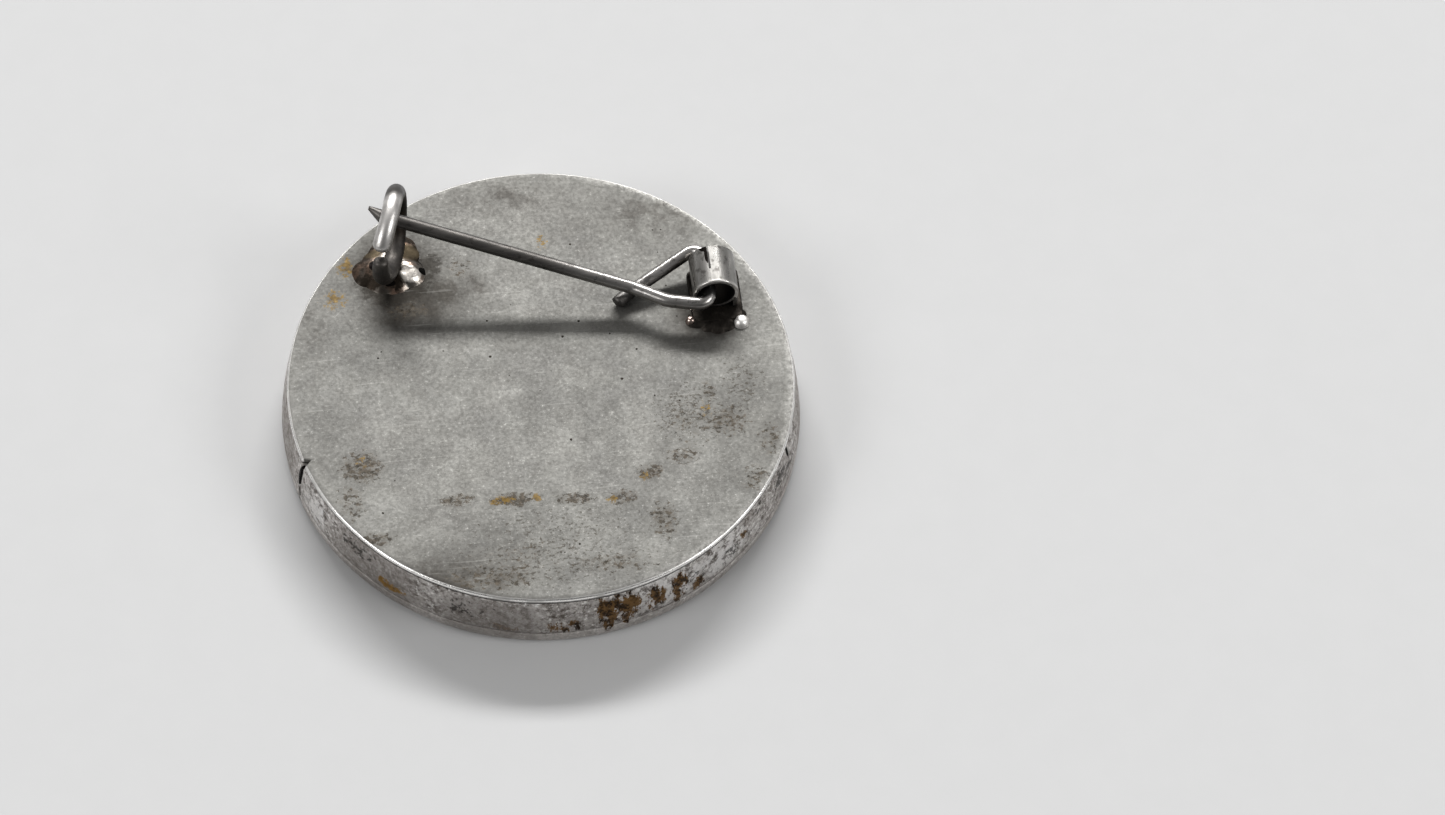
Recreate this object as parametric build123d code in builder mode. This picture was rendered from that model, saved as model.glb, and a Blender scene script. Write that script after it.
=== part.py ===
from build123d import *
import math
import os

os.makedirs("parts", exist_ok=True)

# ---- driving dimensions, mm and degrees -------------------------------------
# The badge lies on its face: z = 0 is the front of the bezel, +Z is the back.

# body
BACK_R = 16.0           # radius of the back plate
BODY_H = 4.5            # front of the bezel to the outside of the back plate
PLATE_T = 0.45          # back plate sheet
BAND_T = 0.5            # rim band strip
FRONT_R = 16.45         # the wall swells to this radius above the rolled front edge
LIP_R = 14.7            # inner radius of the rolled front lip
LIP_T = 0.5             # height of the rolled front lip
BEAD_Z = 1.2            # height of the fine line above the rolled edge
SEAM_ANGLE = 197.0      # where the ends of the rim band meet
SEAM_GAP = 0.2          # opening left between the ends
SEAM_CLOSED_Z = 1.5     # the seam is filled with solder up to here
CRACK_ANGLE = -23.0     # short crack in the wall on the other side
NICK_W = 0.55           # V nick in the edge of the back plate, over the seam
NICK_DEEP = 0.45

# picture stack under the bezel
STACK_R = 15.3          # radius of cover, print and card
COVER_T = 0.5
DOME_RISE = 0.38        # how far the cover bulges into the opening of the lip
PRINT_T = 0.15
CARD_T = 1.2
PACKING_R = 14.7

# hinge, on the back plate
TUBE_X = 11.5           # centre line of the rolled tube, parallel to Y
TUBE_Y0 = 4.2           # near end
TUBE_Y1 = 6.95          # far end
TUBE_R = 1.45
TUBE_T = 0.3            # sheet of the tube
TUBE_Z = 1.76           # centre line above the back plate
FOOT_T = 0.3
FOOT_X = (9.95, 13.25)
FOOT_Y = (3.15, 7.2)
TUBE_SPLIT_L = 1.7      # the seam of the roll has opened over this length

# pin, one length of spring wire
WIRE_R = 0.43
BAR_X = 11.1            # the part of the wire inside the tube: the hinge axis
BAR_Z = 1.75            # above the back plate
BEND_R = 0.75           # tight bends at the two ends of the tube
POINT_L = 1.4           # length of the sharpened point

# catch, one C of thicker wire
RING_X = -8.7
RING_Y = 9.8
RING_R = 2.65           # centre line of the C
RING_WIRE_R = 0.525
RING_Z = 3.2            # centre of the C above the back plate
RING_TURN = 72.0        # direction in plan of the C's closed side
RING_GAP_FROM = 50.0    # upper end of the C, from the top round towards the opening
RING_GAP_TO = 76.0      # lower end of the C


def ring_section():
    """Half section of the rim band: wall, rolled front corner and lip."""
    top = BODY_H - PLATE_T
    with BuildLine() as outline:
        Polyline((LIP_R, LIP_T), (LIP_R, 0.2), (LIP_R + 0.2, 0), (FRONT_R - 0.55, 0))
        ThreePointArc(
            (FRONT_R - 0.55, 0), (FRONT_R - 0.16, 0.17), (FRONT_R - 0.02, 0.6)
        )
        Polyline(
            (FRONT_R - 0.02, 0.6),
            (FRONT_R, BEAD_Z - 0.12),
            (FRONT_R - 0.09, BEAD_Z),
            (FRONT_R - 0.05, BEAD_Z + 0.12),
        )
        ThreePointArc(
            (FRONT_R - 0.05, BEAD_Z + 0.12),
            (BACK_R + 0.3, 2.8),
            (BACK_R, top - 0.07),
        )
        Polyline(
            (BACK_R, top - 0.07),
            (BACK_R - 0.05, top),
            (BACK_R - BAND_T, top),
            (BACK_R - BAND_T, LIP_T),
            (LIP_R, LIP_T),
        )
    return outline.line


def at_angle(radius, angle, z):
    """Point on a circle about the badge's axis."""
    a = math.radians(angle)
    return (radius * math.cos(a), radius * math.sin(a), z)


def seam_box(z0, z1, mode):
    """Slot across the wall where the ends of the band meet, cut or kept."""
    place = Location(at_angle(BACK_R - 0.4, SEAM_ANGLE, (z0 + z1) / 2), (0, 0, SEAM_ANGLE))
    with Locations(place):
        Box(3.0, SEAM_GAP, z1 - z0, mode=mode)


# ---- body -------------------------------------------------------------------

with BuildPart() as back_plate:
    with BuildSketch(Plane.XZ):
        with BuildLine():
            top = BODY_H
            low = BODY_H - PLATE_T
            Polyline(
                (0, low), (BACK_R - 0.06, low), (BACK_R, low + 0.06),
                (BACK_R, top - 0.13), (BACK_R - 0.13, top), (0, top), (0, low),
            )
        make_face()
    revolve(axis=Axis.Z)
    with BuildSketch(Plane.XY.offset(BODY_H)):
        with Locations(Location(at_angle(BACK_R, SEAM_ANGLE, 0), (0, 0, SEAM_ANGLE))):
            Polygon(
                (0.3, -NICK_W / 2), (-NICK_DEEP, 0), (0.3, NICK_W / 2), align=None
            )
    extrude(amount=-PLATE_T, mode=Mode.SUBTRACT)
back_plate.part.label = "back_plate"
export_step(back_plate.part, "parts/back_plate.step")

with BuildPart() as rim_band:
    with BuildSketch(Plane.XZ):
        with BuildLine():
            add(ring_section())
        make_face()
    revolve(axis=Axis.Z)
    seam_box(-0.5, BODY_H, Mode.SUBTRACT)
    crack_z = BODY_H - PLATE_T - 0.35
    with Locations(Location(at_angle(BACK_R + 0.15, CRACK_ANGLE, crack_z), (0, 0, CRACK_ANGLE))):
        Box(0.5, 0.11, 0.75, mode=Mode.SUBTRACT)
rim_band.part.label = "rim_band"
export_step(rim_band.part, "parts/rim_band.step")

with BuildPart() as seam_solder:
    with BuildSketch(Plane.XZ):
        with BuildLine():
            add(ring_section())
        make_face()
    revolve(axis=Axis.Z)
    seam_box(-0.5, SEAM_CLOSED_Z, Mode.INTERSECT)
seam_solder.part.label = "seam_solder"
export_step(seam_solder.part, "parts/seam_solder.step")

with BuildPart() as plate_solder:
    with BuildSketch(Plane.XZ):
        with BuildLine():
            inner = BACK_R - BAND_T
            low = BODY_H - PLATE_T
            Polyline((inner, low), (inner - 0.5, low), (inner, low - 0.5), (inner, low))
        make_face()
    revolve(axis=Axis.Z)
plate_solder.part.label = "plate_solder"
export_step(plate_solder.part, "parts/plate_solder.step")

# ---- picture stack ----------------------------------------------------------

DOME_EDGE_R = LIP_R - 0.4
DOME_BALL_R = (DOME_EDGE_R ** 2 + DOME_RISE ** 2) / (2 * DOME_RISE)


def dome_point(r, base):
    """Point on the domed cover, base being the height of its flat edge."""
    sag = DOME_BALL_R - math.sqrt(DOME_BALL_R ** 2 - r ** 2)
    return (r, base - DOME_RISE + sag)


with BuildPart() as face_cover:
    with BuildSketch(Plane.XZ):
        with BuildLine():
            z0 = LIP_T
            z1 = LIP_T + COVER_T
            half_r = DOME_EDGE_R / 2
            ThreePointArc(dome_point(0, z0), dome_point(half_r, z0), (DOME_EDGE_R, z0))
            Polyline((DOME_EDGE_R, z0), (STACK_R, z0), (STACK_R, z1), (DOME_EDGE_R, z1))
            ThreePointArc((DOME_EDGE_R, z1), dome_point(half_r, z1), dome_point(0, z1))
            Line(dome_point(0, z1), dome_point(0, z0))
        make_face()
    revolve(axis=Axis.Z)
face_cover.part.label = "face_cover"
export_step(face_cover.part, "parts/face_cover.step")


def disc(radius, z, thickness):
    """Flat disc about the badge's axis, its underside at z."""
    with Locations((0, 0, z)):
        Cylinder(radius, thickness, align=(Align.CENTER, Align.CENTER, Align.MIN))


PRINT_Z = LIP_T + COVER_T
CARD_Z = PRINT_Z + PRINT_T
PACKING_Z = CARD_Z + CARD_T

with BuildPart() as face_print:
    disc(STACK_R, PRINT_Z, PRINT_T)
face_print.part.label = "face_print"
export_step(face_print.part, "parts/face_print.step")

with BuildPart() as backing_card:
    disc(STACK_R, CARD_Z, CARD_T)
backing_card.part.label = "backing_card"
export_step(backing_card.part, "parts/backing_card.step")

with BuildPart() as packing_disc:
    disc(PACKING_R, PACKING_Z, BODY_H - PLATE_T - PACKING_Z)
packing_disc.part.label = "packing_disc"
export_step(packing_disc.part, "parts/packing_disc.step")

# ---- hinge ------------------------------------------------------------------

TUBE_L = TUBE_Y1 - TUBE_Y0
TUBE_MID_Y = (TUBE_Y0 + TUBE_Y1) / 2


def rod_y(radius, length, mode=Mode.ADD):
    """Cylinder on the centre line of the rolled tube."""
    with Locations(Location((TUBE_X, TUBE_MID_Y, BODY_H + TUBE_Z), (90, 0, 0))):
        Cylinder(radius, length, mode=mode)


with BuildPart() as hinge_tube:
    rod_y(TUBE_R, TUBE_L)
    # the tail of the strip runs straight down from the roll to the foot
    tail_x = TUBE_X + TUBE_R - TUBE_T / 2
    with Locations((tail_x, TUBE_MID_Y, BODY_H + (FOOT_T + TUBE_Z) / 2)):
        Box(TUBE_T, TUBE_L, TUBE_Z - FOOT_T)
    rod_y(TUBE_R - TUBE_T, TUBE_L + 1, Mode.SUBTRACT)
    # opened seam of the roll, just left of the top at the far end
    split_at = Location((TUBE_X, TUBE_Y1 - TUBE_SPLIT_L / 2, BODY_H + TUBE_Z), (0, -12, 0))
    with Locations(split_at):
        Box(
            0.12, TUBE_SPLIT_L, TUBE_R + 0.5,
            align=(Align.CENTER, Align.CENTER, Align.MIN), mode=Mode.SUBTRACT,
        )
    fillet(
        hinge_tube.edges().filter_by(GeomType.CIRCLE).filter_by(
            lambda e: abs(e.radius - TUBE_R) < 0.01 and e.center().Y < TUBE_Y0 + 0.01
        ),
        radius=0.1,
    )
hinge_tube.part.label = "hinge_tube"
export_step(hinge_tube.part, "parts/hinge_tube.step")

with BuildPart() as hinge_foot:
    foot_w = FOOT_X[1] - FOOT_X[0]
    foot_l = FOOT_Y[1] - FOOT_Y[0]
    with Locations((sum(FOOT_X) / 2, sum(FOOT_Y) / 2, BODY_H + FOOT_T / 2)):
        Box(foot_w, foot_l, FOOT_T)
    fillet(hinge_foot.edges().filter_by(Axis.Z), radius=0.5)
    chamfer(hinge_foot.faces().sort_by(Axis.Z)[-1].edges(), length=0.08)
hinge_foot.part.label = "hinge_foot"
export_step(hinge_foot.part, "parts/hinge_foot.step")


def cap(x, y, z, radius, height):
    """Rounded bead of solder: a spherical cap standing at height z above the back plate."""
    ball = (radius ** 2 + height ** 2) / (2 * height)
    with BuildPart(mode=Mode.PRIVATE) as bead:
        with Locations((x, y, BODY_H + z + height - ball)):
            Sphere(ball)
        split(bisect_by=Plane.XY.offset(BODY_H + z), keep=Keep.TOP)
    return bead.part


with BuildPart() as hinge_solder:
    # fillet of solder that carries the roll on its foot
    with Locations((TUBE_X - 0.1, TUBE_MID_Y, BODY_H + FOOT_T)):
        Box(1.9, TUBE_L - 0.3, 0.5, align=(Align.CENTER, Align.CENTER, Align.MIN))
    rod_y(TUBE_R, TUBE_L + 1, Mode.SUBTRACT)
    # beads that ran out at the near corners of the foot
    add(cap(13.05, 3.1, 0, 0.75, 0.5))
    add(cap(9.85, 3.45, 0, 0.6, 0.42))
    add(hinge_foot.part, mode=Mode.SUBTRACT)
hinge_solder.part.label = "hinge_solder"
export_step(hinge_solder.part, "parts/hinge_solder.step")

# ---- pin --------------------------------------------------------------------

# Corners of the wire's centre line, z above the back plate: tail under the
# stem, far leg, bar through the tube, near leg, apex of the spring, stem.
TAIL_END = (5.25, 4.95, 0.46)
TAIL_BEND = (6.3, 5.72, 0.6)
FAR_CORNER = (BAR_X, 8.2, BAR_Z)
NEAR_CORNER = (BAR_X, 3.4, BAR_Z)
LEG_BEND = (8.4, 4.03, 1.7)
APEX = (6.3, 5.3, 1.62)
AT_RING = (-8.06, 9.86, 4.4)
STEM_DIR = (Vector(*AT_RING) - Vector(*APEX)).normalized()
STEM_L = 17.4           # apex to the tip of the point
POINT_START = Vector(*APEX) + STEM_DIR * (STEM_L - POINT_L)


def lifted(p):
    """A point given above the back plate, in the badge's own height."""
    return Vector(*p) + Vector(0, 0, BODY_H)


def bent_wire(corners, radii, radius):
    """Wire swept along straight lengths joined by round bends."""
    pts = [lifted(p) for p in corners]
    cuts = []
    for i, bend in enumerate(radii, start=1):
        back = (pts[i - 1] - pts[i]).normalized()
        on = (pts[i + 1] - pts[i]).normalized()
        half = math.acos(max(-1.0, min(1.0, back.dot(on)))) / 2
        leg = bend / math.tan(half)
        middle = pts[i] + (back + on).normalized() * (bend / math.sin(half) - bend)
        cuts.append((pts[i] + back * leg, middle, pts[i] + on * leg))
    edges = []
    start = pts[0]
    for first, middle, last in cuts:
        edges.append(Edge.make_line(start, first))
        edges.append(Edge.make_three_point_arc(first, middle, last))
        start = last
    edges.append(Edge.make_line(start, pts[-1]))
    with BuildPart(mode=Mode.PRIVATE) as wire:
        with BuildSketch(Plane(origin=pts[0], z_dir=pts[1] - pts[0])):
            Circle(radius)
        sweep(path=Wire(edges))
    return wire.part


with BuildPart() as pin_wire:
    add(
        bent_wire(
            [TAIL_END, TAIL_BEND, FAR_CORNER, NEAR_CORNER, LEG_BEND, APEX, tuple(POINT_START)],
            [1.5, BEND_R, BEND_R, 2.5, 1.6],
            WIRE_R,
        )
    )
    with Locations(Plane(origin=lifted(tuple(POINT_START)), z_dir=STEM_DIR)):
        Cone(WIRE_R, 0.05, POINT_L, align=(Align.CENTER, Align.CENTER, Align.MIN))
pin_wire.part.label = "pin_wire"
export_step(pin_wire.part, "parts/pin_wire.step")

# ---- catch ------------------------------------------------------------------

turn = math.radians(RING_TURN)
# upright plane of the C: local x points down the closed side, local y up
RING_PLANE = Plane(
    origin=(RING_X, RING_Y, BODY_H + RING_Z),
    x_dir=(-math.cos(turn), -math.sin(turn), 0),
    z_dir=(math.sin(turn), -math.cos(turn), 0),
)


def ring_point(angle):
    """Point on the C's centre line, angle from the top round towards the opening."""
    a = math.radians(angle)
    return (RING_R * math.sin(a), RING_R * math.cos(a))


with BuildPart() as catch_ring:
    with BuildLine(RING_PLANE) as ring_path:
        ThreePointArc(
            ring_point(RING_GAP_FROM), ring_point(-117), ring_point(RING_GAP_TO - 360)
        )
    with BuildSketch(Plane(ring_path.line @ 0, z_dir=ring_path.line % 0)):
        Circle(RING_WIRE_R)
    sweep(path=ring_path.line)
    ends = catch_ring.edges().filter_by(
        lambda e: abs(e.length - 2 * math.pi * RING_WIRE_R) < 0.02
    )
    fillet(ends, radius=0.3)
catch_ring.part.label = "catch_ring"
export_step(catch_ring.part, "parts/catch_ring.step")

with BuildPart() as catch_solder:
    add(cap(-9.1, 9.2, 0, 1.75, 0.72))
    add(cap(-7.95, 8.85, 0, 1.25, 0.5))
    add(cap(-10.35, 9.35, 0, 0.95, 0.42))
    add(catch_ring.part, mode=Mode.SUBTRACT)
catch_solder.part.label = "catch_solder"
export_step(catch_solder.part, "parts/catch_solder.step")
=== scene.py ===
import math

import bpy
import numpy as np
from mathutils import Matrix, Vector, noise


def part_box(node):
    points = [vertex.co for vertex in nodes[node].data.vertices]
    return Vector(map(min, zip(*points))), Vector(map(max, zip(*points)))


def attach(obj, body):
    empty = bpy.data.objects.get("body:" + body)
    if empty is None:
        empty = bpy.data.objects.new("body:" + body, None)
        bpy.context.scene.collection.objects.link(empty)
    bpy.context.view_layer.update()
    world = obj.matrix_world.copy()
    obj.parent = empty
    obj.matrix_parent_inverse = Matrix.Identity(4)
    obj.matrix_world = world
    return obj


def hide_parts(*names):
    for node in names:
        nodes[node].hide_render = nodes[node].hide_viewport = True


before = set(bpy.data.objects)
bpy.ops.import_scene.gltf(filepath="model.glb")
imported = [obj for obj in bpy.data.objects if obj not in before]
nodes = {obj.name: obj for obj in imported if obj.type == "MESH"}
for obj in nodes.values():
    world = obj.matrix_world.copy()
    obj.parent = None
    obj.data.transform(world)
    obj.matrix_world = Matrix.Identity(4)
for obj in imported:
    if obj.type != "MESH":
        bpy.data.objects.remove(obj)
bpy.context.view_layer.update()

MM = 0.001

# ---- sizes read from the frame, in millimetres ------------------------------

PLATE_LOW, PLATE_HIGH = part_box("back_plate")
BACK_Z = PLATE_HIGH.z / MM              # outside of the back plate
PLATE_T = (PLATE_HIGH.z - PLATE_LOW.z) / MM
BACK_R = PLATE_HIGH.y / MM
FRONT_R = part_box("rim_band")[1].y / MM
LIP_T = 0.5                             # rolled lip of the bezel
LIP_R = 14.7
BAND_T = 0.5                            # strip of the wall
BEAD_Z = 1.2                            # fine line above the rolled edge
SEAM_ANGLE = 197.0                      # where the ends of the strip meet
SEAM_GAP = 0.24                         # opening left between them
CRACK_ANGLE = -23.0
CRACK_L = 0.85                          # down from the back edge of the wall
CRACK_DEEP = 0.28
CRACK_HALF = 0.07
NICK_W = 0.55
NICK_DEEP = 0.45
EDGE_ROLL = 0.13                        # width of the rounded edge of the back plate

# the pin wire, from its cut tail round the hinge to the stem
WIRE_R = 0.43
POINT_L = 0.85
TIP_SHARE = 0.3                         # the worn point is blunt
STEM_L = 17.4
TAIL_END = (5.25, 4.95, BACK_Z + 0.46)
TAIL_BEND = (6.3, 5.72, BACK_Z + 0.6)
FAR_CORNER = (11.1, 8.2, BACK_Z + 1.75)
NEAR_CORNER = (11.1, 3.4, BACK_Z + 1.75)
LEG_BEND = (8.4, 4.03, BACK_Z + 1.7)
APEX = (6.3, 5.3, BACK_Z + 1.62)
AT_RING = (-8.06, 9.86, BACK_Z + 4.4)
BENDS = (1.5, 0.75, 0.75, 2.5, 1.6)
BEND_STEP = 0.15                        # spacing of the points round a bend and along a run
RUN_STEP = 0.12

TUBE_R = 1.45                           # outside of the rolled hinge

# the catch, a wire bent to a C; its gap is measured from the top towards the viewer
RING_R = 2.65
RING_WIRE_R = 0.585
RING_TURN = math.radians(76)
RING_STEPS = 180
RING_GAP = (59, 71)
RING_SHIFT = 0.17                       # the crown stands a little towards the hinge
RING_LEAN = (0.45, 0.3, 0.1)            # how far it is bent aside: above the gap, below it, behind

# ---- light, chosen so that the floor is a plain pale grey --------------------

WORLD_DIM = 0.15
WORLD_BRIGHT = 0.50
SOFTBOXES = (
    # name, azimuth, elevation, distance, width and depth in metres, watts
    ("softbox_back", 176, 40, 1.6, 1.3, 0.20, 38.0),
    ("softbox_left", -70, 36, 1.6, 0.7, 0.6, 10.0),
    ("softbox_right", 68, 36, 1.6, 0.7, 0.6, 10.0),
)

# ---- camera -----------------------------------------------------------------

AZIMUTH = math.radians(-5.6)
ELEVATION = math.radians(57.4)
DISTANCE = 0.2519
LENS = 99.65
AIM_RIGHT = 0.0452      # tangents of the small turn that sets the badge left of centre
AIM_DOWN = 0.0070


def make_camera():
    """Long lens looking down on the back of the badge."""
    data = bpy.data.cameras.new("camera")
    data.sensor_width = 36.0
    data.lens = LENS
    data.clip_start = 0.01
    data.clip_end = 20.0
    cam = bpy.data.objects.new("camera", data)
    bpy.context.scene.collection.objects.link(cam)
    ahead = Vector((
        -math.sin(AZIMUTH) * math.cos(ELEVATION),
        math.cos(AZIMUTH) * math.cos(ELEVATION),
        -math.sin(ELEVATION),
    ))
    right = ahead.cross(Vector((0, 0, 1))).normalized()
    up = right.cross(ahead)
    aim = (ahead + right * AIM_RIGHT - up * AIM_DOWN).normalized()
    right = (right - aim * right.dot(aim)).normalized()
    up = right.cross(aim)
    turn = Matrix((right, up, -aim)).transposed().to_4x4()
    place = Vector((0, 0, BACK_Z * MM)) - ahead * DISTANCE
    cam.matrix_world = Matrix.Translation(place) @ turn
    bpy.context.scene.camera = cam


# ---- materials --------------------------------------------------------------

TEAR = 0.42             # zone strength times grain above which a patch shows

def linear(code):
    """sRGB hex value to a linear colour."""
    parts = [int(code[i:i + 2], 16) / 255 for i in (1, 3, 5)]
    parts = [c / 12.92 if c <= 0.04045 else ((c + 0.055) / 1.055) ** 2.4 for c in parts]
    return (*parts, 1.0)


def add(tree, kind, settings=None, inputs=None):
    """Adds a node with its settings, and its inputs as values or links."""
    made = tree.nodes.new(kind)
    for name, value in (settings or {}).items():
        setattr(made, name, value)
    for key, value in (inputs or {}).items():
        if isinstance(value, bpy.types.NodeSocket):
            tree.links.new(value, made.inputs[key])
        else:
            made.inputs[key].default_value = value
    return made


def new_material(name):
    """Empty material, its tree, its surface shader and the object's own millimetres."""
    material = bpy.data.materials.new(name)
    material.use_nodes = True
    tree = material.node_tree
    tree.nodes.clear()
    shader = add(tree, "ShaderNodeBsdfPrincipled")
    add(tree, "ShaderNodeOutputMaterial", None, {"Surface": shader.outputs[0]})
    place = add(tree, "ShaderNodeTexCoord").outputs["Object"]
    mm = add(tree, "ShaderNodeVectorMath", {"operation": "SCALE"}, {0: place, "Scale": 1 / MM})
    return material, tree, shader, mm.outputs[0]


def spread(tree, source, low, high, bottom=0.0, top=1.0):
    """Socket mapped smoothly from low..high to bottom..top."""
    return add(
        tree, "ShaderNodeMapRange", {"interpolation_type": "SMOOTHSTEP"},
        {0: source, 1: low, 2: high, 3: bottom, 4: top},
    ).outputs[0]


def zone(tree, mm, places):
    """Strength that falls from the middle of each (x, y, z, half sizes, strength) place to 0 at its edge."""
    total = None
    for x, y, z, rx, ry, rz, strength in places:
        off = add(tree, "ShaderNodeVectorMath", {"operation": "SUBTRACT"}, {0: mm, 1: (x, y, z)})
        unit = add(
            tree, "ShaderNodeVectorMath", {"operation": "MULTIPLY"},
            {0: off.outputs[0], 1: (1 / rx, 1 / ry, 1 / rz)},
        )
        far = add(tree, "ShaderNodeVectorMath", {"operation": "LENGTH"}, {0: unit.outputs[0]})
        near = spread(tree, far.outputs["Value"], 0.0, 1.0, strength, 0.0)
        if total is None:
            total = near
        else:
            total = add(tree, "ShaderNodeMath", {"operation": "MAXIMUM"}, {0: total, 1: near}).outputs[0]
    return total


def torn_mask(tree, area, grain, edge=0.06):
    """Zone torn to ragged patches by a grain of 0 to 1."""
    ragged = add(tree, "ShaderNodeMath", {"operation": "MULTIPLY"}, {0: area, 1: grain})
    return spread(tree, ragged.outputs[0], TEAR - edge, TEAR + edge)


def patches(tree, mm, places, grain, edge=0.06):
    """Mask of ragged patches in the given places."""
    return torn_mask(tree, zone(tree, mm, places), grain, edge)


def blend(tree, share, under, over):
    """Colour under covered by colour over where share is 1."""
    return add(tree, "ShaderNodeMix", {"data_type": "RGBA"}, {0: share, 6: under, 7: over}).outputs[2]


def cloth(tree, place, scale, detail, low=0.35, high=0.65, fine=0.62):
    """Noise stretched to fill 0 to 1: scale in cycles per millimetre, fine the share of small detail."""
    made = add(
        tree, "ShaderNodeTexNoise", None,
        {"Vector": place, "Scale": scale, "Detail": detail, "Roughness": fine},
    )
    return add(tree, "ShaderNodeMapRange", None, {0: made.outputs[0], 1: low, 2: high}).outputs[0]


def nickel_sheet():
    """Nickel plate on rolled brass sheet, satin from wear: grey with a fine grain, clouded and pitted,
    and worn through to the brass in places."""
    material, tree, shader, mm = new_material("nickel_plated_sheet")
    cloud = cloth(tree, mm, 0.3, 4.0, 0.34, 0.66)
    blotch = cloth(tree, mm, 0.75, 5.0)
    # wear grain of about 0.2 mm
    grain = cloth(tree, mm, 5.0, 4.0, 0.3, 0.7)
    flat = add(
        tree, "ShaderNodeVectorMath", {"operation": "MULTIPLY"}, {0: mm, 1: (0.7, 1.0, 1.0)}
    ).outputs[0]
    torn = cloth(tree, flat, 2.2, 8.0, 0.36, 0.64, 0.85)
    ragged = add(tree, "ShaderNodeMath", {"operation": "MULTIPLY"}, {0: grain, 1: 0.5}).outputs[0]
    ragged = add(
        tree, "ShaderNodeMath", {"operation": "MULTIPLY_ADD"}, {0: torn, 1: 0.64, 2: ragged}
    ).outputs[0]
    nickel = blend(tree, cloud, linear("#6d6c69"), linear("#82817d"))
    nickel = blend(tree, spread(tree, blotch, 0.0, 1.0, 0.30, 0.0), nickel, linear("#5a5854"))
    nickel = blend(tree, spread(tree, grain, 0.10, 0.60, 0.13, 0.0), nickel, linear("#4a4844"))
    nickel = blend(tree, spread(tree, grain, 0.86, 1.0, 0.0, 0.26), nickel, linear("#b5b4af"))
    # rolling texture of about 0.1 mm, sharpest where hands have cleaned it
    fine = cloth(tree, flat, 8.0, 4.0, 0.3, 0.7, 0.7)
    cleaned = add(tree, "ShaderNodeSeparateXYZ", None, {0: mm}).outputs["Y"]
    cleaned = spread(tree, cleaned, -12.0, 8.0, 1.0, 0.25)
    hollow = spread(tree, fine, 0.0, 0.50, 0.34, 0.0)
    hollow = add(tree, "ShaderNodeMath", {"operation": "MULTIPLY"}, {0: hollow, 1: cleaned}).outputs[0]
    nickel = blend(tree, hollow, nickel, linear("#45433f"))
    ridge = spread(tree, fine, 0.72, 1.0, 0.0, 0.42)
    ridge = add(tree, "ShaderNodeMath", {"operation": "MULTIPLY"}, {0: ridge, 1: cleaned}).outputs[0]
    nickel = blend(tree, ridge, nickel, linear("#c6c5c0"))
    # the plate tarnished round the solder and over its outer parts,
    # with a painted shadow of the catch ring on the plate below and right of the catch
    tarnish_and_shade = patches(tree, mm, [
        (-8.0, 7.0, BACK_Z, 5.2, 4.4, 3, 1.2),
        (10.9, 3.4, BACK_Z, 4.2, 4.0, 3, 1.0),
        (8.5, 12.0, BACK_Z, 8.0, 6.0, 3, 0.6),
        (-1.0, 14.2, BACK_Z, 9.0, 4.0, 3, 0.60),
        (-5.2, 7.4, BACK_Z, 4.8, 2.6, 3, 1.0),
        (-7.0, -14.0, BACK_Z, 9.0, 3.6, 3, 0.85),
        (13.5, -5.0, BACK_Z, 4.0, 7.0, 3, 0.42),
        (-14.0, 5.5, BACK_Z, 2.6, 5.0, 3, 0.6),
    ], spread(tree, blotch, 0.0, 1.0, 0.35, 1.0), 0.4)
    nickel = blend(tree, spread(tree, tarnish_and_shade, 0.0, 1.0, 0.0, 0.8), nickel, linear("#474440"))
    # brown specks where the plating has failed
    spoiled = zone(tree, mm, [
        (-11.7, -5.4, BACK_Z, 3.0, 2.6, 1, 1.0),
        (-6.0, -8.3, BACK_Z, 2.6, 1.1, 1, 0.95),
        (-2.6, -8.6, BACK_Z, 2.8, 1.2, 1, 1.1),
        (1.2, -8.9, BACK_Z, 3.0, 1.0, 1, 0.9),
        (4.2, -9.1, BACK_Z, 2.0, 1.3, 1, 0.95),
        (6.0, -7.4, BACK_Z, 1.9, 1.4, 1, 0.95),
        (8.2, -6.4, BACK_Z, 3.0, 1.6, 1, 0.78),
        (11.2, -4.2, BACK_Z, 3.8, 3.2, 1, 0.78),
        (13.8, -5.8, BACK_Z, 2.2, 4.0, 1, 0.66),
        (6.6, -11.0, BACK_Z, 2.1, 3.6, 1, 0.80),
        (-11.2, -10.6, BACK_Z, 2.6, 1.3, 1, 0.9),
        (-4.5, -14.0, BACK_Z, 8.5, 2.6, 1, 0.72),
        (10.4, -1.8, BACK_Z, 1.2, 2.0, 1, 0.78),
        (3.0, -13.6, BACK_Z, 9.0, 2.4, 1, 0.66),
        (-12.6, -8.0, BACK_Z, 2.6, 4.6, 1, 0.68),
        (-2.0, -12.6, BACK_Z, 11.0, 4.0, 1, 0.56),
        (12.6, -8.6, BACK_Z, 3.0, 3.0, 1, 0.7),
        (9.0, -4.0, BACK_Z, 7.0, 6.5, 1, 0.60),
        (-8.0, 6.0, BACK_Z, 3.6, 2.0, 1, 0.72),
        (-4.5, 9.0, BACK_Z, 2.4, 2.4, 1, 0.66),
    ])
    grit = cloth(tree, flat, 3.6, 5.0, 0.33, 0.65, 0.75)
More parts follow.
